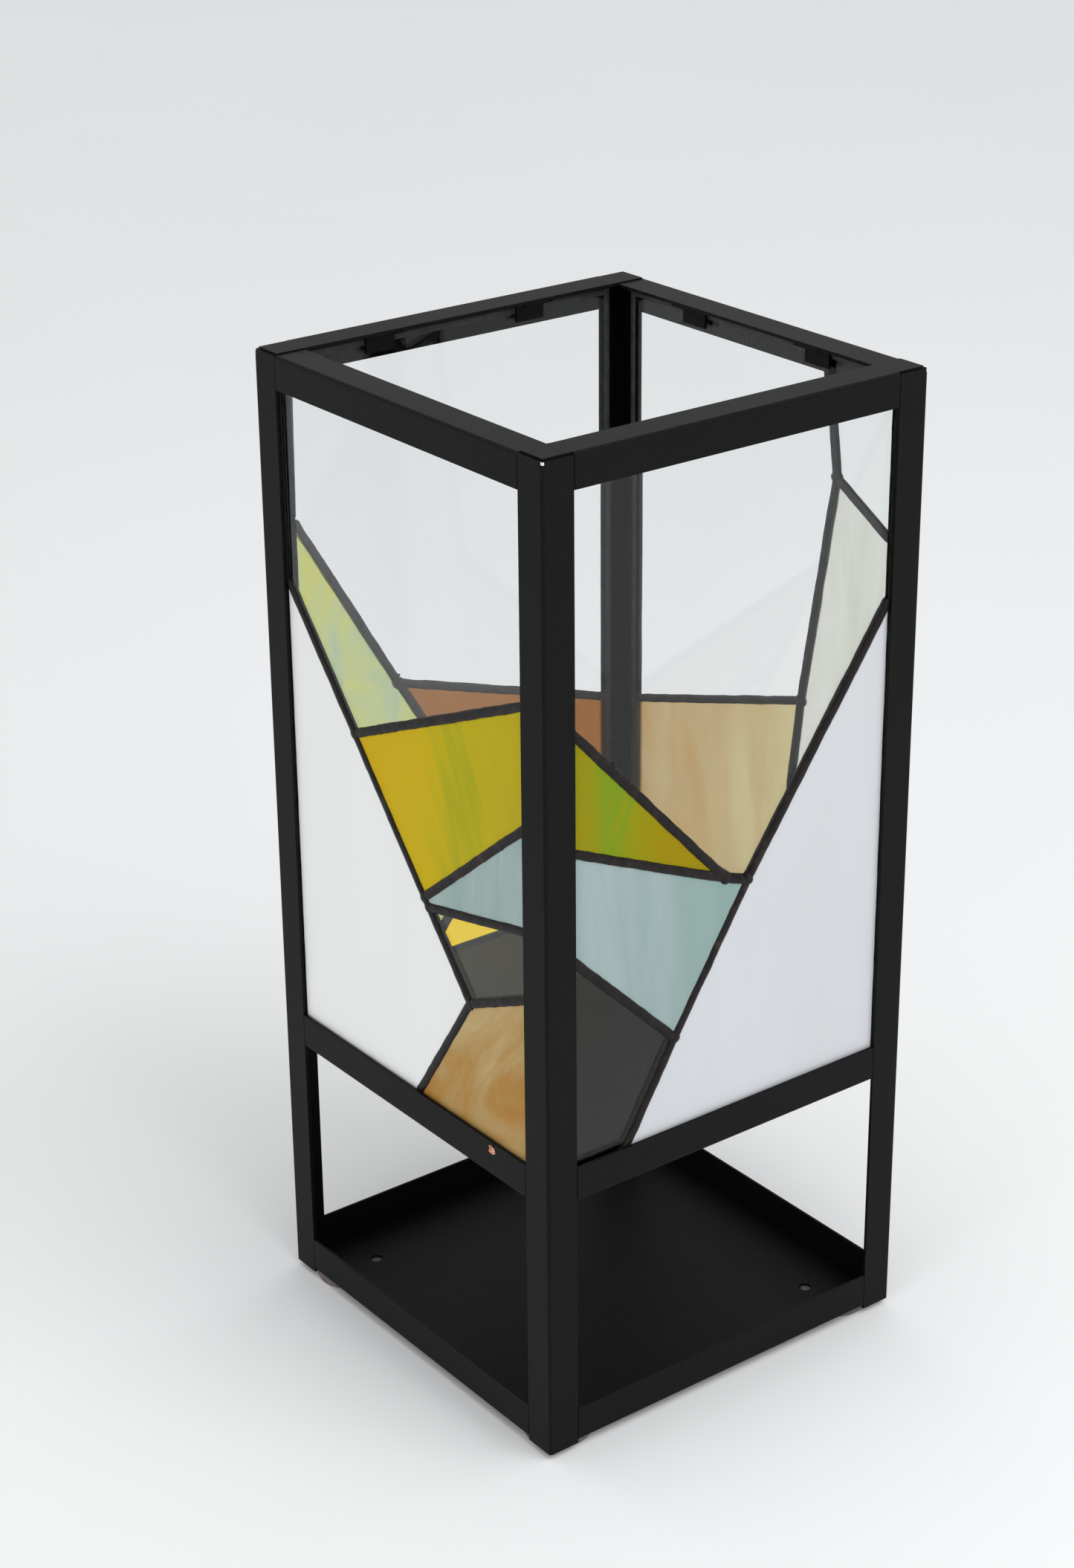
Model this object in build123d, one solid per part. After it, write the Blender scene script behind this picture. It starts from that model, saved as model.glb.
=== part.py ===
from build123d import *
import os

# Stained glass table lamp: a square black steel frame with four leaded glass panels.
#
# Millimetres, +Z up.  The origin is on the surface the lamp stands on, under the middle of its feet.
# Every side is drawn as the front side, which faces -Y, and then turned about Z into its place.
# Panel patterns are given as seen from outside: across to the right, and up from the panel's lower edge.

# Overall
WIDTH = 200.0            # outside of the square frame
FRAME_HEIGHT = 450.5     # underside of the tray to the top of the long top rails
FOOT_HEIGHT = 4.5        # the feet hold the tray this far off the table
MID_RAIL_LIFT = 121.0    # underside of the tray to the underside of the middle rails

# Steel angle and sheet
SHEET = 1.5              # thickness of the angle
ANGLE_LEG = 15.5         # width of a post's leg and of a rail's level flange
TOP_RAIL_FACE = 15.0     # height of a top rail's upright flange
MID_RAIL_FACE = 16.5     # height of a middle rail's upright flange
BEND_RADIUS = 1.4        # outside of a bend
EDGE_BREAK = 0.2         # powder coat rounds every cut edge
SEAM = 0.3               # gap where a rail's face meets a post's leg
SHORT_RAIL_DROP = 0.6    # the two short top rails sit this much lower than the long ones
POST_TOP_DROP = 1.0      # the posts stop this far below the top of the long rails
POST_OVERHANG = 1.5      # the posts reach this far below the tray
RELIEF_WIDTH = 1.6       # bend relief notched into the top of each post's corner
RELIEF_DEPTH = 1.8

# Tray and shelf
PAN_SHEET = 1.2
PAN_BEND_RADIUS = 1.08
TRAY_LIP = 16.5
TRAY_HOLE_PITCH = 145.0
TRAY_HOLE_RADIUS = 2.9
SHELF_GAP = 0.4          # play between the shelf and the solder of the panels

# Feet
FOOT_RADIUS = 15.5
FOOT_PITCH = 164.0
FOOT_ROUNDING = 1.2
CROOKED_FOOT = "rear_left"
CROOKED_SHIFT = (-2.0, -4.0)   # this foot is stuck on a little out of place

# Leaded panels
PANEL_WIDTH = 175.0
PANEL_HEIGHT = 323.0
GLASS = 3.0              # thickness of the glass
BEAD_HEIGHT = 0.8        # solder stands this far out of the glass on both faces
SEAM_HALF = 2.0          # half the width of a solder line
BORDER_WIDTH = 3.0       # foil along the panel's outer edge
FOIL_GAP = 0.4           # half the foil-lined gap between two pieces of glass
PANEL_PLAY = 0.1         # between the solder and the steel outside it
CLEAR_PIECE_CUT = 1.2    # the rear clear piece is this much narrow at its upper corner

# Clips that hold the panels' upper edges
CLIP_WIDTH = 15.0
CLIP_SHEET = 1.2
CLIP_FOOT = 8.0
CLIP_DROP = 9.8
CLIP_OFFSET = 40.5       # from the middle of a side
CLIP_PLAY = 0.3
CLIP_BEND_RADIUS = 0.4

HALF = WIDTH / 2
INNER = HALF - SHEET                       # inner face of the posts and rails
LEG_EDGE = HALF - ANGLE_LEG                # free edge of a post's leg
FACE_HALF = LEG_EDGE - SEAM                # half the length of a rail's upright face
TRAY_Z = FOOT_HEIGHT
TOP_Z = TRAY_Z + FRAME_HEIGHT
MID_Z = TRAY_Z + MID_RAIL_LIFT
PANEL_Z = MID_Z + SHEET
SHELF_Z = MID_Z + MID_RAIL_FACE            # top of the shelf, level with the middle rails
GLASS_OUTER = INNER - PANEL_PLAY - BEAD_HEIGHT
GLASS_INNER = GLASS_OUTER - GLASS
SOLDER_INNER = GLASS_INNER - BEAD_HEIGHT

SIDE_TURN = {"front": 0, "right": 90, "rear": 180, "left": 270}
LONG_SIDES = ("front", "rear")
CORNERS = {"front_left": (-1, -1), "front_right": (1, -1), "rear_right": (1, 1), "rear_left": (-1, 1)}
CORNER_TURN = {"front_left": 0, "front_right": 90, "rear_right": 180, "rear_left": 270}

EDGE = PANEL_WIDTH / 2
TOP = PANEL_HEIGHT

# Where the lead lines of each panel meet: across from the middle, up from the lower edge.
LEFT_POINTS = {
    "edge_diagonal": (-EDGE, 228.4), "upper": (-37.2, 170.7), "middle": (11.9, 111.7),
    "middle_low": (14.9, 108.1), "lower": (43.7, 73.6), "foot": (-3.8, 0), "edge_b": (EDGE, 223.3),
    "edge_c": (EDGE, 171.1), "edge_d": (EDGE, 123.3), "edge_e": (EDGE, 93), "base_left": (-EDGE, 0),
    "base_right": (EDGE, 0), "top_left": (-EDGE, TOP), "top_right": (EDGE, TOP),
}
LEFT_PIECES = {
    "clear_upper": ["edge_diagonal", "upper", "edge_b", "top_right", "top_left"],
    "yellow": ["upper", "middle", "edge_c", "edge_b"],
    "blue_grey": ["middle", "middle_low", "edge_d", "edge_c"],
    "clear_lower": ["middle_low", "lower", "edge_e", "edge_d"],
    "amber": ["lower", "foot", "base_right", "edge_e"],
    "white": ["edge_diagonal", "base_left", "foot", "lower", "middle_low", "middle", "upper"],
}
FRONT_POINTS = {
    "edge_diagonal": (EDGE, 229.3), "knee": (9.2, 120.3), "tip": (-3.2, 124.6), "lower": (-30.3, 57.8),
    "foot": (-63.6, 0), "edge_b": (-EDGE, 213.5), "edge_c": (-EDGE, 160.1), "edge_d": (-EDGE, 112.6),
    "base_left": (-EDGE, 0), "base_right": (EDGE, 0), "top_left": (-EDGE, TOP), "top_right": (EDGE, TOP),
}
FRONT_PIECES = {
    "clear_upper": ["edge_b", "tip", "knee", "edge_diagonal", "top_right", "top_left"],
    "yellow_green": ["edge_c", "tip", "edge_b"],
    "blue_grey": ["edge_d", "lower", "knee", "tip", "edge_c"],
    "clear_lower": ["base_left", "foot", "lower", "edge_d"],
    "white": ["foot", "base_right", "edge_diagonal", "knee", "lower"],
}
REAR_POINTS = {
    "apex": (EDGE, 249.3), "upper": (32.8, 159.6), "middle": (3.2, 112), "lower": (-22.5, 71),
    "foot": (33, 0), "edge_h": (-EDGE, 122.6), "edge_m": (-EDGE, 85), "edge_k": (-EDGE, 48),
    "clear_top": (EDGE - CLEAR_PIECE_CUT, TOP), "base_left": (-EDGE, 0), "base_right": (EDGE, 0),
    "top_left": (-EDGE, TOP),
}
REAR_PIECES = {
    "clear_upper": ["edge_h", "upper", "apex", "clear_top", "top_left"],
    "green_opal": ["foot", "base_right", "apex", "upper", "middle", "lower"],
    "brown": ["edge_m", "middle", "upper", "edge_h"],
    "blue_grey": ["edge_k", "lower", "middle", "edge_m"],
    "yellow": ["base_left", "foot", "lower", "edge_k"],
}
RIGHT_POINTS = {
    "crown": (-43.7, TOP), "fork": (-51, 268.5), "edge_fork": (-EDGE, 249), "upper": (-32, 159),
    "middle": (-18.5, 50), "lower": (-15, 24), "foot": (-11.5, 0), "edge_h": (EDGE, 122.5),
    "edge_m": (EDGE, 62), "edge_k": (EDGE, 29), "base_left": (-EDGE, 0), "base_right": (EDGE, 0),
    "top_left": (-EDGE, TOP), "top_right": (EDGE, TOP),
}
RIGHT_PIECES = {
    "clear_upper": ["upper", "edge_h", "top_right", "crown", "fork"],
    "clear_corner": ["edge_fork", "fork", "crown", "top_left"],
    "cream": ["base_left", "foot", "lower", "middle", "upper", "fork", "edge_fork"],
    "peach": ["middle", "edge_m", "edge_h", "upper"],
    "blue_grey": ["lower", "edge_k", "edge_m", "middle"],
    "amber": ["foot", "base_right", "edge_k", "lower"],
}
PANELS = {
    "left": (LEFT_POINTS, LEFT_PIECES),
    "front": (FRONT_POINTS, FRONT_PIECES),
    "rear": (REAR_POINTS, REAR_PIECES),
    "right": (RIGHT_POINTS, RIGHT_PIECES),
}

LOW = (Align.MIN, Align.MIN, Align.MIN)


def write(shape, node):
    """Save one node as its own STEP file."""
    shape.label = node
    export_step(shape, f"parts/{node}.step")


def block(low, high):
    """Box between two opposite corners."""
    size = [top - bottom for bottom, top in zip(low, high)]
    return Pos(*low) * Box(*size, align=LOW)


def angle_section(leg_x, leg_y):
    """L section of folded sheet: outer corner at the origin, legs along +X and +Y."""
    corner = (Align.MIN, Align.MIN)
    section = Rectangle(leg_x, SHEET, align=corner) + Rectangle(SHEET, leg_y, align=corner)
    outer = section.vertices().sort_by_distance((0, 0))[0]
    section = fillet(outer, BEND_RADIUS)
    tips = [point for point in section.vertices()
            if point.X > leg_x - EDGE_BREAK or point.Y > leg_y - EDGE_BREAK]
    return fillet(tips, EDGE_BREAK)


def post(turn):
    """Corner angle, drawn at the front left corner with a bend relief at its top."""
    height = FRAME_HEIGHT - POST_TOP_DROP + POST_OVERHANG
    bar = Pos(-HALF, -HALF, TRAY_Z - POST_OVERHANG) * extrude(angle_section(ANGLE_LEG, ANGLE_LEG), height)
    top = TOP_Z - POST_TOP_DROP
    relief = Pos(-HALF, -HALF, top) * Rot(0, 0, 45) * Box(4 * SHEET, RELIEF_WIDTH, 2 * RELIEF_DEPTH)
    return Rot(0, 0, turn) * (bar - relief)


def rail(face_height, low_z, flange_on_top, full_length):
    """Front rail: an angle whose upright face is flush with the posts' legs.

    A long rail's flange runs on behind the posts' legs; a short rail's ends against the long ones.
    """
    section = angle_section(ANGLE_LEG, face_height)
    level = low_z + face_height if flange_on_top else low_z
    if flange_on_top:
        section = mirror(section, about=Plane.XZ)
    upright = Plane(origin=(-FACE_HALF, -HALF, level), x_dir=(0, 1, 0), z_dir=(1, 0, 0))
    bar = extrude(upright * section, 2 * FACE_HALF)
    if full_length:
        flange_low = level - SHEET if flange_on_top else level
        for side in (-1, 1):
            ends = sorted((side * FACE_HALF, side * INNER))
            bar += block((ends[0], -INNER, flange_low), (ends[1], -LEG_EDGE, flange_low + SHEET))
    else:
        bar -= block((-HALF, -LEG_EDGE, low_z), (-LEG_EDGE, 0, low_z + face_height))
        bar -= block((LEG_EDGE, -LEG_EDGE, low_z), (HALF, 0, low_z + face_height))
    return bar


def pan_floor(half_outer, thickness, low_z):
    """Square floor whose corners are notched so that it fits inside the posts."""
    high_z = low_z + thickness
    floor = block((-half_outer, -FACE_HALF, low_z), (half_outer, FACE_HALF, high_z))
    floor += block((-FACE_HALF, -half_outer, low_z), (FACE_HALF, half_outer, high_z))
    inside = INNER - PANEL_PLAY
    return floor + block((-inside, -inside, low_z), (inside, inside, high_z))


def tray():
    """Bottom pan: its four lips stand between the posts, flush with their faces."""
    pan = pan_floor(HALF, PAN_SHEET, TRAY_Z)
    for turn in SIDE_TURN.values():
        lip = block((-FACE_HALF, -HALF, TRAY_Z), (FACE_HALF, -HALF + PAN_SHEET, TRAY_Z + TRAY_LIP))
        pan += Rot(0, 0, turn) * lip
    bends = [edge for edge in pan.edges().filter_by(GeomType.LINE)
             if abs(edge.center().Z - TRAY_Z) < 0.01 and edge.length > 1.5 * FACE_HALF]
    pan = pan.fillet(PAN_BEND_RADIUS, bends)
    rims = [edge for edge in pan.edges().filter_by(GeomType.LINE)
            if abs(edge.center().Z - TRAY_Z - TRAY_LIP) < 0.01 and edge.length > 1.5 * FACE_HALF]
    pan = pan.fillet(EDGE_BREAK, rims)
    holes = GridLocations(TRAY_HOLE_PITCH, TRAY_HOLE_PITCH, 2, 2)
    drill = Cylinder(TRAY_HOLE_RADIUS, 4 * PAN_SHEET)
    return pan - [Pos(0, 0, TRAY_Z) * place * drill for place in holes]


def shelf():
    """Upside-down pan that stands on the middle rails inside the panels and holds their lower edges."""
    half = SOLDER_INNER - SHELF_GAP
    pan = block((-half, -half, PANEL_Z), (half, half, SHELF_Z))
    pan = pan.fillet(BEND_RADIUS, pan.edges().group_by(Axis.Z)[-1])
    hollow = half - PAN_SHEET
    return pan - block((-hollow, -hollow, PANEL_Z), (hollow, hollow, SHELF_Z - PAN_SHEET))


def foot(centre_x, centre_y):
    """Round stick-on pad under a corner of the tray."""
    pad = Cylinder(FOOT_RADIUS, FOOT_HEIGHT, align=(Align.CENTER, Align.CENTER, Align.MIN))
    pad = pad.fillet(FOOT_ROUNDING, pad.edges().group_by(Axis.Z)[0])
    return Pos(centre_x, centre_y, 0) * pad


def clip(along, flange_underside):
    """Small folded bracket under the front top rail that bears on the panel's inner face."""
    outer = -(SOLDER_INNER - CLIP_PLAY)
    low_x = along - CLIP_WIDTH / 2
    high_x = along + CLIP_WIDTH / 2
    foot_plate = block((low_x, outer, flange_underside - CLIP_SHEET),
                       (high_x, outer + CLIP_FOOT, flange_underside))
    tab = block((low_x, outer, flange_underside - CLIP_DROP), (high_x, outer + CLIP_SHEET, flange_underside))
    bracket = foot_plate + tab
    bend = [edge for edge in bracket.edges().filter_by(Axis.X)
            if abs(edge.center().Y - outer - CLIP_SHEET) < 0.01 and edge.center().Z > flange_underside - 2]
    return bracket.fillet(CLIP_BEND_RADIUS, bend)


def panel_plate(face, outer, thickness):
    """Extrude a panel face, drawn across and up, inwards from its outer plane on the front side."""
    plane = Plane(origin=(0, -outer, PANEL_Z), x_dir=(1, 0, 0), z_dir=(0, -1, 0))
    return extrude(plane * face, -thickness)


def piece_face(points, names):
    """Flat outline of one piece between the lead lines, anticlockwise as seen from outside."""
    return make_face(Polyline(*[points[name] for name in names], close=True))


def glass_piece(points, names):
    """One piece of glass, a foil gap inside its lead lines."""
    outline = offset(piece_face(points, names), -FOIL_GAP, kind=Kind.INTERSECTION)
    return panel_plate(outline, GLASS_OUTER, GLASS)


def solder_net(points, pieces):
    """Foil and solder of one panel: a web between the pieces and a flat bead on each face."""
    web = None
    bead = None
    for names in pieces.values():
        whole = piece_face(points, names)
        thin = whole - offset(whole, -FOIL_GAP, kind=Kind.INTERSECTION)
        wide = whole - offset(whole, -SEAM_HALF, kind=Kind.INTERSECTION)
        web = thin if web is None else web + thin
        bead = wide if bead is None else bead + wide
    outline = make_face(Polyline(*panel_outline(points), close=True))
    border = outline - offset(outline, -BORDER_WIDTH, kind=Kind.INTERSECTION)
    bead = bead + border
    net = panel_plate(web, GLASS_OUTER, GLASS)
    net += panel_plate(bead, GLASS_OUTER + BEAD_HEIGHT, BEAD_HEIGHT)
    net += panel_plate(bead, GLASS_INNER, BEAD_HEIGHT)
    return net


def panel_outline(points):
    """Outer corners of a panel; the rear panel's clear piece is cut a little narrow."""
    corners = [points["base_left"], points["base_right"]]
    if "apex" in points:
        corners += [points["apex"], points["clear_top"]]
    else:
        corners.append(points["top_right"])
    return corners + [points["top_left"]]


def build_frame():
    """Posts and rails."""
    for corner, turn in CORNER_TURN.items():
        write(post(turn), f"post_{corner}")
    for side, turn in SIDE_TURN.items():
        is_long = side in LONG_SIDES
        top_low = TOP_Z - TOP_RAIL_FACE - (0 if is_long else SHORT_RAIL_DROP)
        write(Rot(0, 0, turn) * rail(TOP_RAIL_FACE, top_low, True, is_long), f"top_rail_{side}")
        write(Rot(0, 0, turn) * rail(MID_RAIL_FACE, MID_Z, False, is_long), f"mid_rail_{side}")


def build_base():
    """Tray, shelf and feet."""
    write(tray(), "base_tray")
    write(shelf(), "shelf_plate")
    for corner, (corner_x, corner_y) in CORNERS.items():
        shift_x, shift_y = CROOKED_SHIFT if corner == CROOKED_FOOT else (0, 0)
        pad = foot(corner_x * FOOT_PITCH / 2 + shift_x, corner_y * FOOT_PITCH / 2 + shift_y)
        write(pad, f"foot_{corner}")


def build_clips():
    """Two clips on each side, numbered from left to right as seen from outside."""
    for side, turn in SIDE_TURN.items():
        underside = TOP_Z - SHEET - (0 if side in LONG_SIDES else SHORT_RAIL_DROP)
        for number, way in ((1, -1), (2, 1)):
            write(Rot(0, 0, turn) * clip(way * CLIP_OFFSET, underside), f"clip_{side}_{number}")


def build_panels():
    """Glass pieces and the solder net of each panel."""
    for side, (points, pieces) in PANELS.items():
        turn = Rot(0, 0, SIDE_TURN[side])
        for name, names in pieces.items():
            write(turn * glass_piece(points, names), f"{side}_glass_{name}")
        write(turn * solder_net(points, pieces), f"{side}_solder")


os.makedirs("parts", exist_ok=True)
build_frame()
build_base()
build_clips()
build_panels()
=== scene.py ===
"""Looks of the stained glass table lamp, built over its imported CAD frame.

Pieces are made in a panel's own coordinates, in millimetres, as seen from outside: across to the right from
the middle, up from the panel's lower edge, and out from the lamp's centre.  panel_matrix() turns them into
the frame's metres.  Materials read the frame's metres directly.
"""
import math

import bpy
from mathutils import Matrix, Vector, noise


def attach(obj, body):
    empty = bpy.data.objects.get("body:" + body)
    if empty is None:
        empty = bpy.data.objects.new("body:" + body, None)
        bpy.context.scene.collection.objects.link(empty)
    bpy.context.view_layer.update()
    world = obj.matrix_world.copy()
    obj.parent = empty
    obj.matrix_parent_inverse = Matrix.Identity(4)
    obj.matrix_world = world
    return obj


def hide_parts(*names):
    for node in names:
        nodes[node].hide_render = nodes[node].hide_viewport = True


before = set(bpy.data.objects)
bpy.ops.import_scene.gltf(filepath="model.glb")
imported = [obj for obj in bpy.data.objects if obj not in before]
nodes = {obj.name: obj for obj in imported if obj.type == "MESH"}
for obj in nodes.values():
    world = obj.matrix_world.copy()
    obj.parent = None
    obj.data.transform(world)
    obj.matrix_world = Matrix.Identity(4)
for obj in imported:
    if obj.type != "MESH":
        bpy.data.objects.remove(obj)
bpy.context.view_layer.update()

MM = 0.001

# ---------------------------------------------------------------- panels

PANEL_Z = 127.0         # lower edge of the panels
PANEL_HEIGHT = 323.0
EDGE = 87.5             # half of a panel's width
GLASS_OUTER = 97.6      # faces of the glass, from the lamp's centre
GLASS_INNER = 94.6

LEAD_WIDTH = {"front": 4.1, "left": 4.1, "rear": 3.8, "right": 3.6}
LEAD_HEIGHT = 0.85
LEAD_INSET = 1.6        # how far short of the panel's edge a lead ends
FOIL_WIDTH = 3.0        # border foil on the faces
FOIL_HEIGHT = 0.45
FOIL_EDGE = 0.4         # foil and solder between two pieces, and round the edge
FOIL_LIP = 0.2          # how far the edge foil stands past the glass
GLASS_COVER = 0.05      # how far the solder between two pieces stays below the glass
JOINT_RADIUS = 2.9      # lumps where leads meet
JOINT_HEIGHT = 1.0
SINK = 0.12             # how far solder reaches into the glass
BEAD_STEP = 1.1
BEAD_SIDES = 10
BLOB_SIDES = 20
BLOB_LEVELS = [0.0, 0.12, 0.3, 0.5, 0.7, 0.86, 0.96, 0.995]
STALK_SIDES = 8
SMOOTH_BELOW = math.radians(50)

TURN = {"front": 0, "right": 90, "rear": 180, "left": 270}

LEADS = {
    "left": {
        "points": {
            "edge_diagonal": (-EDGE, 228.4), "upper": (-37.2, 170.7), "middle": (11.9, 111.7),
            "middle_low": (14.9, 108.1), "lower": (43.7, 73.6), "foot": (-3.8, 0),
            "edge_b": (EDGE, 223.3), "edge_c": (EDGE, 171.1), "edge_d": (EDGE, 123.3), "edge_e": (EDGE, 93),
        },
        "lines": [
            ("edge_diagonal", "upper"), ("upper", "middle"), ("middle", "middle_low"),
            ("middle_low", "lower"), ("lower", "foot"), ("upper", "edge_b"), ("middle", "edge_c"),
            ("middle_low", "edge_d"), ("lower", "edge_e"),
        ],
    },
    "front": {
        "points": {
            "edge_diagonal": (EDGE, 229.3), "knee": (9.2, 120.3), "tip": (-3.2, 124.6),
            "lower": (-30.3, 57.8), "foot": (-63.6, 0),
            "edge_b": (-EDGE, 213.5), "edge_c": (-EDGE, 160.1), "edge_d": (-EDGE, 112.6),
        },
        "lines": [
            ("edge_diagonal", "knee"), ("knee", "lower"), ("lower", "foot"), ("knee", "tip"),
            ("tip", "edge_b"), ("tip", "edge_c"), ("lower", "edge_d"),
        ],
    },
    "rear": {
        "points": {
            "apex": (EDGE, 249.3), "upper": (32.8, 159.6), "middle": (3.2, 112), "lower": (-22.5, 71),
            "foot": (33, 0), "edge_h": (-EDGE, 122.6), "edge_m": (-EDGE, 85), "edge_k": (-EDGE, 48),
        },
        "lines": [
            ("apex", "upper"), ("upper", "middle"), ("middle", "lower"), ("lower", "foot"),
            ("upper", "edge_h"), ("middle", "edge_m"), ("lower", "edge_k"),
        ],
    },
    "right": {
        "points": {
            "crown": (-43.7, PANEL_HEIGHT), "fork": (-51, 268.5), "edge_fork": (-EDGE, 249),
            "upper": (-32, 159), "middle": (-18.5, 50), "lower": (-15, 24), "foot": (-11.5, 0),
            "edge_h": (EDGE, 122.5), "edge_m": (EDGE, 62), "edge_k": (EDGE, 29),
        },
        "lines": [
            ("crown", "fork"), ("fork", "edge_fork"), ("fork", "upper"), ("upper", "middle"),
            ("middle", "lower"), ("lower", "foot"), ("upper", "edge_h"), ("middle", "edge_m"),
            ("lower", "edge_k"),
        ],
    },
}

REAR_CLEAR_TOP = 86.3   # top right corner of the rear panel, where the clear piece is cut narrow

# Small lumps on the outside of the leads: across, up, radius and height.
NUBS = {"front": [(-63.9, 192.6, 1.5, 1.6), (8.4, 122.3, 1.7, 1.9), (4.5, 122.9, 1.2, 1.5)]}

# A whisker of solder on the inside of the rear panel, with a flat head: places and radii.
WHISKER = [(33.6, 159.6, 94.0), (33.4, 163.2, 94.2), (33.3, 163.9, 94.2), (33.3, 164.5, 94.2)]
WHISKER_RADII = [0.35, 0.22, 0.75, 0.6]


def panel_outline(side):
    """Corners of a panel; the rear one's clear piece is cut narrow."""
    right_edge = [(EDGE, 0), (EDGE, PANEL_HEIGHT)]
    if side == "rear":
        right_edge = [(EDGE, 0), LEADS["rear"]["points"]["apex"], (REAR_CLEAR_TOP, PANEL_HEIGHT)]
    return [(-EDGE, 0)] + right_edge + [(-EDGE, PANEL_HEIGHT)]


def panel_matrix(side):
    """From panel coordinates (across, up, out) in millimetres to the row frame in metres."""
    local = Matrix(((1, 0, 0, 0), (0, 0, -1, 0), (0, 1, 0, PANEL_Z), (0, 0, 0, 1)))
    return Matrix.Scale(MM, 4) @ Matrix.Rotation(math.radians(TURN[side]), 4, "Z") @ local


class Shells:
    """Collects closed shells of one piece."""

    def __init__(self):
        self.points = []
        self.faces = []

    def tube(self, rings):
        """Closed shell through rings of equally many points, capped at both ends."""
        base = len(self.points)
        count = len(rings[0])
        for ring in rings:
            self.points.extend(ring)
        for i in range(len(rings) - 1):
            low = base + i * count
            for j in range(count):
                k = (j + 1) % count
                self.faces.append((low + j, low + k, low + count + k, low + count + j))
        self.faces.append(tuple(base + j for j in reversed(range(count))))
        last = base + (len(rings) - 1) * count
        self.faces.append(tuple(last + j for j in range(count)))

    def build(self, name, matrix, material):
        """Make the piece with the given material, smooth except at its sharp edges."""
        mesh = bpy.data.meshes.new(name)
        mesh.from_pydata([matrix @ Vector(p) for p in self.points], [], self.faces)
        mesh.update()
        mesh.materials.append(material)
        mesh.shade_smooth()
        mesh.set_sharp_from_angle(angle=SMOOTH_BELOW)
        piece = bpy.data.objects.new(name, mesh)
        bpy.context.scene.collection.objects.link(piece)
        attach(piece, "root")
        return piece


def lump(place, size, seed):
    """Smooth value from about -1 to 1 that changes over the given size in millimetres."""
    return noise.noise(Vector((place[0] / size, place[1] / size, seed * 7.31)))


def bead(shells, start, end, face, width, height, seed, lumps=1.0):
    """Lumpy half-round bead of solder from start to end on the outer (1) or inner (-1) glass face."""
    start, end = Vector(start), Vector(end)
    length = (end - start).length
    along = (end - start) / length
    side = Vector((-along.y, along.x))
    steps = max(4, round(length / BEAD_STEP))
    surface = GLASS_OUTER if face > 0 else GLASS_INNER
    rings = []
    for i in range(steps + 1):
        run = length * i / steps
        centre = start + along * run
        end_taper = math.sqrt(min(1.0, (min(run, length - run) + 0.12) / (0.5 * width)))
        centre = centre + side * 0.22 * lumps * lump(centre, 9.0, seed)
        bulge = 0.09 * lump(centre, 5.0, seed + 1) + 0.05 * lump(centre, 2.0, seed + 2)
        rise = 0.22 * lump(centre, 6.0, seed + 3) + 0.10 * lump(centre, 2.2, seed + 4)
        wide = width / 2 * (1 + lumps * bulge) * end_taper
        tall = height * (1 + lumps * rise) * end_taper
        ring = []
        for j in range(BEAD_SIDES + 1):
            turn = math.pi * j / BEAD_SIDES
            point = centre - side * wide * math.cos(turn)
            ring.append((point.x, point.y, surface + face * tall * math.sin(turn) ** 0.8))
        for way in (1, -1):
            point = centre + side * wide * way * 0.98
            ring.append((point.x, point.y, surface - face * SINK))
        if face < 0:
            ring.reverse()
        rings.append(ring)
    shells.tube(rings)


def blob(shells, centre, face, radius, height, seed):
    """Low rounded lump of solder where lines meet."""
    surface = GLASS_OUTER if face > 0 else GLASS_INNER
    rings = []
    for level in BLOB_LEVELS:
        around = []
        for j in range(BLOB_SIDES):
            turn = 2 * math.pi * j / BLOB_SIDES
            reach = radius * math.sqrt(1 - level ** 2)
            place = (math.cos(turn) * 4 + centre[0], math.sin(turn) * 4 + centre[1])
            reach *= 1 + 0.12 * lump(place, 3.0, seed)
            out = surface + face * (height * level if level else -SINK)
            around.append((centre[0] + reach * math.cos(turn), centre[1] + reach * math.sin(turn), out))
        if face < 0:
            around.reverse()
        rings.append(around)
    shells.tube(rings)


def plate(shells, start, end, half_width, low, high):
    """Straight bar between two depths, such as the solder between two pieces of glass."""
    start, end = Vector(start), Vector(end)
    side = (end - start).normalized()
    side = Vector((-side.y, side.x)) * half_width
    rings = []
    for centre in (start, end):
        left, right = centre - side, centre + side
        rings.append([(*left, high), (*left, low), (*right, low), (*right, high)])
    shells.tube(rings)


def stalk(shells, places, radii):
    """Thin round stalk through (across, up, out) places, with a radius at each."""
    rings = []
    for (across, up, out), radius in zip(places, radii):
        turns = [2 * math.pi * j / STALK_SIDES for j in range(STALK_SIDES)]
        rings.append([(across + radius * math.cos(turn), up, out - radius * math.sin(turn))
                      for turn in turns])
    shells.tube(rings)


def inset_point(point, amount):
    """Move a point on the panel's edge inwards, so that a lead ends in the border foil."""
    across = max(-EDGE + amount, min(EDGE - amount, point[0]))
    up = max(amount, min(PANEL_HEIGHT - amount, point[1]))
    return (across, up)


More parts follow.
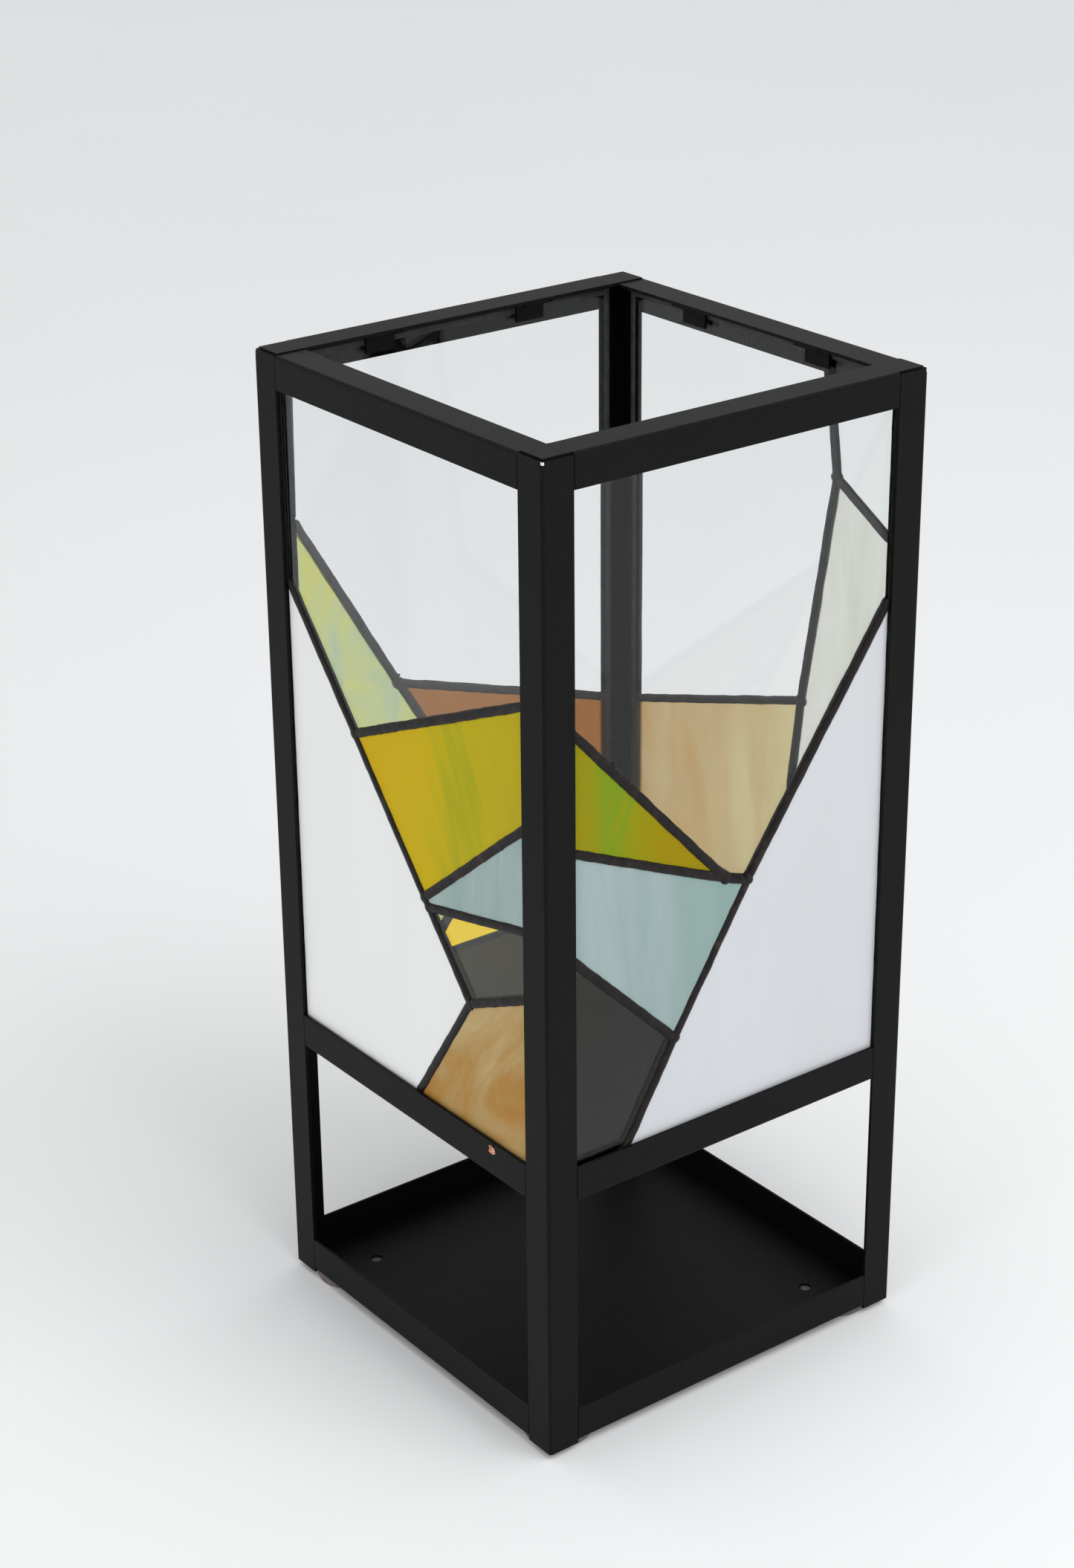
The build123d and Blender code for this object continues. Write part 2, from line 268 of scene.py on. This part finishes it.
def solder_piece(side, seed, material):
    """The lead lines and border foil of one panel."""
    shells = Shells()
    points = LEADS[side]["points"]
    for number, (first, second) in enumerate(LEADS[side]["lines"]):
        start, end = (inset_point(points[name], LEAD_INSET) for name in (first, second))
        plate(shells, start, end, FOIL_EDGE * 0.9, GLASS_INNER + GLASS_COVER, GLASS_OUTER - GLASS_COVER)
        for face in (1, -1):
            bead(shells, start, end, face, LEAD_WIDTH[side], LEAD_HEIGHT, seed + 11 * number + face)
    for number, place in enumerate(points.values()):
        on_edge = abs(place[0]) > EDGE - 1 or place[1] < 1 or place[1] > PANEL_HEIGHT - 1
        if not on_edge:
            for face in (1, -1):
                blob(shells, place, face, JOINT_RADIUS, JOINT_HEIGHT, seed + number + 0.5 * face)
    for number, (across, up, radius, height) in enumerate(NUBS.get(side, [])):
        blob(shells, (across, up), 1, radius, height, seed + 60 + number)
    if side == "rear":
        stalk(shells, WHISKER, WHISKER_RADII)
    corners = panel_outline(side)
    for number, first in enumerate(corners):
        second = corners[(number + 1) % len(corners)]
        run = (Vector(second) - Vector(first)).normalized()
        inward = Vector((-run.y, run.x))
        start, end = (Vector(p) + inward * FOIL_WIDTH / 2 for p in (first, second))
        for face in (1, -1):
            bead(shells, start, end, face, FOIL_WIDTH, FOIL_HEIGHT, seed + 90 + number, lumps=0.6)
        start, end = (Vector(p) + inward * FOIL_EDGE / 2 for p in (first, second))
        plate(shells, start, end, FOIL_EDGE / 2 * 0.95, GLASS_INNER - FOIL_LIP, GLASS_OUTER + FOIL_LIP)
    piece = shells.build(side + "_solder_beads", panel_matrix(side), material)
    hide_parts(side + "_solder")


# The scrap of foil; its rows are (up, half width, out) from bottom to top.
CHIP_ACROSS = 61.9
CHIP_LEAN = 0.25
CHIP_SHEET = 0.15
CHIP_TILT = 0.6         # how much further in its right side lies
CHIP_ROWS = [(9.2, 0.7, 100.1), (10.6, 1.9, 100.9), (12.2, 1.5, 100.5), (13.9, 0.5, 101.3)]


def foil_chip(material):
    """Crumpled scrap of copper foil stuck to the face of the left middle rail."""
    shells = Shells()
    rings = []
    for up, half_width, out in CHIP_ROWS:
        middle = CHIP_ACROSS - CHIP_LEAN * (up - CHIP_ROWS[0][0])
        left, right = middle - half_width, middle + half_width
        back = out - CHIP_TILT
        rings.append([(left, up, out), (left, up, out - CHIP_SHEET),
                      (right, up, back - CHIP_SHEET), (right, up, back)])
    shells.tube(rings)
    shells.build("foil_chip", panel_matrix("left"), material)


# ---------------------------------------------------------------- materials


class Paint:
    """A node material with a Principled shader and a few helpers."""

    def __init__(self, name):
        self.material = bpy.data.materials.new(name)
        self.material.use_nodes = True
        self.tree = self.material.node_tree
        self.shader = self.tree.nodes["Principled BSDF"]
        self.where = self.add("ShaderNodeTexCoord").outputs["Object"]

    def fill(self, node, inputs):
        """Link or set a node's inputs."""
        for name, value in inputs.items():
            socket = node.inputs[name.replace("_", " ") if isinstance(name, str) else name]
            if isinstance(value, bpy.types.NodeSocket):
                self.tree.links.new(value, socket)
            else:
                socket.default_value = value
        return node

    def add(self, kind, **inputs):
        """Add a node; its inputs are given by name, with _ for a space."""
        return self.fill(self.tree.nodes.new(kind), inputs)

    def set(self, **inputs):
        """Set the shader's own inputs."""
        self.fill(self.shader, inputs)

    def noise(self, vector, scale, detail=2.0, roughness=0.5, distortion=0.0):
        node = self.add("ShaderNodeTexNoise", Vector=vector, Scale=scale, Detail=detail, Roughness=roughness,
                        Distortion=distortion)
        return node.outputs["Fac"]

    def ramp(self, value, stops):
        """Colour ramp; stops are (position, colour) pairs."""
        node = self.add("ShaderNodeValToRGB", Fac=value)
        elements = node.color_ramp.elements
        while len(elements) < len(stops):
            elements.new(0.5)
        for element, (position, colour) in zip(elements, stops):
            element.position = position
            element.color = colour if len(colour) == 4 else (*colour, 1.0)
        return node.outputs["Color"]

    def spread(self, value, low, high):
        """Map a 0 to 1 value to a range."""
        return self.add("ShaderNodeMapRange", Value=value, To_Min=low, To_Max=high).outputs["Result"]

    def share_between(self, value, low, high):
        """Map a range to 0 to 1."""
        return self.add("ShaderNodeMapRange", Value=value, From_Min=low, From_Max=high).outputs["Result"]

    def blend(self, share, first, second):
        """Number between two others."""
        node = self.fill(self.tree.nodes.new("ShaderNodeMix"), {0: share, 2: first, 3: second})
        return node.outputs[0]

    def mix(self, share, first, second):
        """Colour between two others."""
        node = self.tree.nodes.new("ShaderNodeMix")
        node.data_type = "RGBA"
        return self.fill(node, {0: share, 6: first, 7: second}).outputs[2]

    def bump(self, height, strength, distance):
        node = self.add("ShaderNodeBump", Height=height, Strength=strength, Distance=distance)
        self.set(Normal=node.outputs["Normal"])

    def turned(self, axis, degrees, scale):
        """Object coordinates turned about an axis, then stretched."""
        turn = self.add("ShaderNodeVectorRotate", Vector=self.where)
        turn.rotation_type = axis + "_AXIS"
        turn.inputs["Angle"].default_value = math.radians(degrees)
        return self.add("ShaderNodeMapping", Vector=turn.outputs["Vector"], Scale=scale).outputs["Vector"]


def powder_coat(name, dark, light):
    """Satin black coating with a faint paler grain."""
    paint = Paint(name)
    broad = paint.noise(paint.where, 9.0, 3.0)
    fine = paint.noise(paint.where, 1400.0, 2.0)
    grain = paint.ramp(paint.noise(paint.where, 1000.0, 1.0), [(0.55, (0, 0, 0)), (0.8, (0.5, 0.5, 0.5))])
    colour = paint.mix(grain, paint.ramp(broad, [(0.3, dark), (0.7, light)]), (0.016, 0.016, 0.016, 1.0))
    paint.set(Base_Color=colour, Roughness=paint.spread(broad, 0.42, 0.54), Specular_IOR_Level=0.1)
    paint.bump(fine, 0.12, 0.00006)
    return paint.material


def rubber_pad():
    """Rough dark pad with dust in its grain."""
    paint = Paint("foot_pad")
    grain = paint.noise(paint.where, 500.0, 4.0)
    colour = paint.ramp(grain, [(0.3, (0.10, 0.080, 0.070)), (0.7, (0.17, 0.145, 0.135))])
    paint.set(Base_Color=colour, Roughness=paint.spread(grain, 0.75, 0.95))
    paint.bump(grain, 0.5, 0.0002)
    return paint.material


def solder_metal():
    """Black patina, paler and greyer on the beads inside the glass."""
    paint = Paint("solder")
    mottle = paint.noise(paint.where, 160.0, 4.0, 0.6)
    grain = paint.noise(paint.where, 900.0, 3.0)
    colour = paint.ramp(mottle, [(0.3, (0.006, 0.005, 0.005)), (0.6, (0.014, 0.011, 0.010)),
                                 (0.85, (0.06, 0.042, 0.030))])
    reach = paint.add("ShaderNodeVectorMath", Vector=paint.where)
    reach.operation = "ABSOLUTE"
    axes = paint.add("ShaderNodeSeparateXYZ", Vector=reach.outputs["Vector"])
    furthest = paint.tree.nodes.new("ShaderNodeMath")
    furthest.operation = "MAXIMUM"
    paint.fill(furthest, {0: axes.outputs["X"], 1: axes.outputs["Y"]})
    outside = paint.share_between(furthest.outputs["Value"], GLASS_INNER * MM, (GLASS_INNER + 0.4) * MM)
    inside = paint.ramp(mottle, [(0.3, (0.045, 0.045, 0.048)), (0.8, (0.085, 0.085, 0.09))])
    paint.set(Base_Color=paint.mix(outside, inside, colour), Metallic=0.05,
              Roughness=paint.spread(mottle, 0.25, 0.55), Specular_IOR_Level=0.15)
    paint.bump(grain, 0.2, 0.00012)
    return paint.material


def copper_foil():
    """Bare copper with tarnished spots."""
    paint = Paint("copper_foil")
    tarnish = paint.noise(paint.where, 700.0, 3.0)
    colour = paint.ramp(tarnish, [(0.35, (0.42, 0.17, 0.09)), (0.65, (0.80, 0.42, 0.27))])
    paint.set(Base_Color=colour, Metallic=0.6, Roughness=paint.spread(tarnish, 0.3, 0.5))
    return paint.material


def clear_glass():
    """Colourless sheet glass with slow waves."""
    paint = Paint("clear_glass")
    wave = paint.noise(paint.where, 18.0, 2.0)
    tint = paint.ramp(wave, [(0.3, (0.945, 0.955, 0.957)), (0.7, (0.952, 0.961, 0.962))])
    paint.set(Base_Color=tint, Roughness=0.0, IOR=1.42, Transmission_Weight=1.0,
              Specular_Tint=(0.35, 0.35, 0.35, 1.0))
    paint.bump(wave, 0.15, 0.0006)
    return paint.material


def streaky_glass(name, side, stops, lean=0.0, along=14.0, across=70.0, drift=None, through=0.2,
                  roughness=0.3, swirl=0.8):
    """Hand-rolled glass whose colours run in streaks up the panel.

    lean turns the streaks, in degrees; along and across are their frequencies per metre.  drift is
    (from, to, share): the colours also change from one place across the panel to another, in millimetres.
    """
    paint = Paint(name)
    facing, level = ("Y", "X") if side in ("front", "rear") else ("X", "Y")
    vector = paint.turned(facing, lean, (across, across, along))
    streak = paint.noise(vector, 1.0, 4.0, 0.55, swirl)
    if drift:
        start, end, share = drift
        way = MM if side in ("front", "right") else -MM
        place = paint.add("ShaderNodeSeparateXYZ", Vector=paint.where).outputs[level]
        streak = paint.blend(share, streak, paint.share_between(place, start * way, end * way))
    wave = paint.noise(paint.where, 40.0, 2.0)
    paint.set(Base_Color=paint.ramp(streak, stops), Roughness=roughness, IOR=1.45,
              Transmission_Weight=through, Specular_IOR_Level=0.05, Specular_Tint=(0.12, 0.12, 0.12, 1.0))
    paint.bump(wave, 0.2, 0.0008)
    return paint.material


frame_paint = powder_coat("powder_coat", (0.0022, 0.0023, 0.0024), (0.0038, 0.0039, 0.0041))
clip_paint = powder_coat("clip_paint", (0.002, 0.002, 0.0021), (0.004, 0.004, 0.0043))
pad = rubber_pad()
solder = solder_metal()
clear = clear_glass()

BLUE_GREY = [(0.3, (0.33, 0.48, 0.44)), (0.5, (0.40, 0.52, 0.50)), (0.75, (0.50, 0.60, 0.60))]
# The front's blue-grey: the same colours as the other blue-grey pieces, made darker as painted shade for the
# dimmer front face.
FRONT_BLUE_GREY_PAINTED_SHADE = [(0.3, (0.31, 0.45, 0.42)), (0.5, (0.345, 0.47, 0.45)), (0.68, (0.45, 0.54, 0.55))]
AMBER = [(0.3, (0.50, 0.22, 0.05)), (0.42, (0.52, 0.28, 0.07)), (0.52, (0.54, 0.35, 0.13)),
         (0.64, (0.60, 0.43, 0.19)), (0.8, (0.70, 0.57, 0.32))]
WHITE = [(0.3, (0.915, 0.92, 0.91)), (0.7, (0.925, 0.935, 0.93))]
# The front's white: the same opal as the left's white, made much darker and bluer as painted shade for the
# dimmer front face.
FRONT_WHITE_PAINTED_SHADE = [(0.3, (0.655, 0.675, 0.695)), (0.5, (0.665, 0.68, 0.705)), (0.7, (0.68, 0.69, 0.725))]
SWIRL = {"along": 11.0, "across": 30.0, "lean": -45.0, "swirl": 1.2}
SEEN_THROUGH = {"through": 0.85, "roughness": 0.28}

GLASS_MATERIALS = {
    "left_glass_yellow": streaky_glass(
        "left_yellow", "left",
        [(0.2, (0.71, 0.46, 0.003)), (0.42, (0.68, 0.495, 0.004)), (0.5, (0.59, 0.48, 0.006)),
         (0.56, (0.46, 0.44, 0.008)), (0.62, (0.59, 0.48, 0.008)), (0.8, (0.54, 0.44, 0.012))],
        lean=30.0, along=6.0, across=60.0, drift=(-30, 90, 0.6)),
    "left_glass_blue_grey": streaky_glass("left_blue_grey", "left", BLUE_GREY, along=8.0),
    "left_glass_amber": streaky_glass("left_amber", "left", AMBER, **SWIRL),
    "left_glass_white": streaky_glass("left_white", "left", WHITE, through=0.08, along=5.0, across=25.0),
    "front_glass_yellow_green": streaky_glass(
        "front_yellow_green", "front",
        [(0.2, (0.40, 0.31, 0.008)), (0.38, (0.33, 0.31, 0.010)), (0.5, (0.22, 0.34, 0.016)),
         (0.6, (0.33, 0.32, 0.008)), (0.75, (0.38, 0.28, 0.005))],
        lean=-24.0, along=14.0, across=70.0, drift=(-95, -32, 0.55), swirl=1.2),
    "front_glass_blue_grey": streaky_glass(
        "front_blue_grey_painted_shade", "front", FRONT_BLUE_GREY_PAINTED_SHADE, lean=5.0, along=5.0, across=45.0, swirl=0.4,
        drift=(20, -95, 0.35)),
    "front_glass_white": streaky_glass(
        "front_white_painted_shade", "front", FRONT_WHITE_PAINTED_SHADE, through=0.08, along=5.0, across=28.0),
    "rear_glass_green_opal": streaky_glass(
        "rear_green_opal", "rear", [(0.32, (0.60, 0.74, 0.54)), (0.5, (0.76, 0.83, 0.36)),
                                    (0.68, (0.86, 0.83, 0.16))], across=34.0, along=22.0, swirl=1.2,
        **SEEN_THROUGH),
    "rear_glass_brown": streaky_glass(
        "rear_brown", "rear", [(0.3, (0.42, 0.16, 0.035)), (0.7, (0.49, 0.22, 0.055))], **SEEN_THROUGH),
    "rear_glass_blue_grey": streaky_glass("rear_blue_grey", "rear", BLUE_GREY),
    "rear_glass_yellow": streaky_glass(
        "rear_yellow", "rear", [(0.3, (0.97, 0.68, 0.008)), (0.7, (0.99, 0.72, 0.012))], through=1.0,
        roughness=0.02),
    "right_glass_cream": streaky_glass(
        "right_cream", "right", [(0.3, (0.82, 0.85, 0.72)), (0.65, (0.97, 0.98, 0.92))], through=0.9,
        roughness=0.25),
    "right_glass_peach": streaky_glass(
        "right_peach", "right", [(0.22, (0.80, 0.46, 0.10)), (0.38, (0.79, 0.56, 0.27)),
                                 (0.52, (0.84, 0.67, 0.35)), (0.64, (0.88, 0.77, 0.42)),
                                 (0.78, (0.90, 0.84, 0.50))],
        lean=10.0, along=9.0, across=26.0, swirl=1.3, drift=(95, -40, 0.3), **SEEN_THROUGH),
    "right_glass_blue_grey": streaky_glass("right_blue_grey", "right", BLUE_GREY),
    "right_glass_amber": streaky_glass("right_amber", "right", AMBER, **SWIRL),
}

for name, node in nodes.items():
    if name in GLASS_MATERIALS:
        finish = GLASS_MATERIALS[name]
    elif "_glass_clear" in name:
        finish = clear
    elif name.startswith("foot_"):
        finish = pad
    elif name.startswith("clip_"):
        finish = clip_paint
    elif name.endswith("_solder"):
        continue
    else:
        finish = frame_paint
    node.data.materials.clear()
    node.data.materials.append(finish)

for number, side in enumerate(TURN):
    solder_piece(side, 100 * number, solder)
foil_chip(copper_foil())

# ---------------------------------------------------------------- floor, light and camera

FLOOR = 14.0            # half of the floor's width, in metres

floor_mesh = bpy.data.meshes.new("floor")
floor_mesh.from_pydata([(-FLOOR, -FLOOR, 0), (FLOOR, -FLOOR, 0), (FLOOR, FLOOR, 0), (-FLOOR, FLOOR, 0)], [],
                       [(0, 1, 2, 3)])
floor = bpy.data.objects.new("floor", floor_mesh)
bpy.context.scene.collection.objects.link(floor)
paper = Paint("paper")
paper_grain = paper.noise(paper.where, 3.0, 2.0)
paper.set(Base_Color=paper.ramp(paper_grain, [(0.3, (0.955, 0.957, 0.96)), (0.7, (0.965, 0.967, 0.97))]),
          Roughness=0.9, Specular_IOR_Level=0.1)
floor.data.materials.append(paper.material)

STUDIO_COLOUR = (0.975, 0.988, 1.0, 1.0)
STUDIO_STRENGTH = 0.76

scene = bpy.context.scene
scene.view_settings.view_transform = "Standard"
world = bpy.data.worlds.new("studio")
world.use_nodes = True
background = world.node_tree.nodes["Background"]
background.inputs["Color"].default_value = STUDIO_COLOUR
background.inputs["Strength"].default_value = STUDIO_STRENGTH
scene.world = world


def soft_light(name, place, target, size, power, spread=180):
    """Large square light aimed at a point; metres, watts and degrees."""
    light = bpy.data.lights.new(name, "AREA")
    light.shape = "SQUARE"
    light.size = size
    light.energy = power
    light.spread = math.radians(spread)
    lamp = bpy.data.objects.new(name, light)
    lamp.location = place
    lamp.rotation_euler = (Vector(target) - Vector(place)).to_track_quat("-Z", "Y").to_euler()
    scene.collection.objects.link(lamp)


soft_light("key", place=(0.3, -1.5, 1.75), target=(0.0, -0.4, 0.0), size=1.7, power=18.5)
soft_light("fill", place=(-2.6, -0.9, 0.8), target=(0, 0, 0.3), size=1.0, power=0.75, spread=50)

CAMERA_LENS = 70.47
CAMERA_PLACE = (-0.7654, -0.9754, 0.8113)
CAMERA_FORWARD = (0.55103, 0.72894, -0.40621)
CAMERA_RIGHT = (0.79526, -0.6062, -0.00903)

camera = bpy.data.objects.new("camera", bpy.data.cameras.new("camera"))
camera.data.lens = CAMERA_LENS
camera.data.clip_start = 0.05
forward = Vector(CAMERA_FORWARD).normalized()
right = Vector(CAMERA_RIGHT)
right = (right - forward * right.dot(forward)).normalized()
upward = right.cross(forward)
camera.matrix_world = Matrix((
    (right.x, upward.x, -forward.x, CAMERA_PLACE[0]),
    (right.y, upward.y, -forward.y, CAMERA_PLACE[1]),
    (right.z, upward.z, -forward.z, CAMERA_PLACE[2]),
    (0, 0, 0, 1),
))
scene.collection.objects.link(camera)
scene.camera = camera
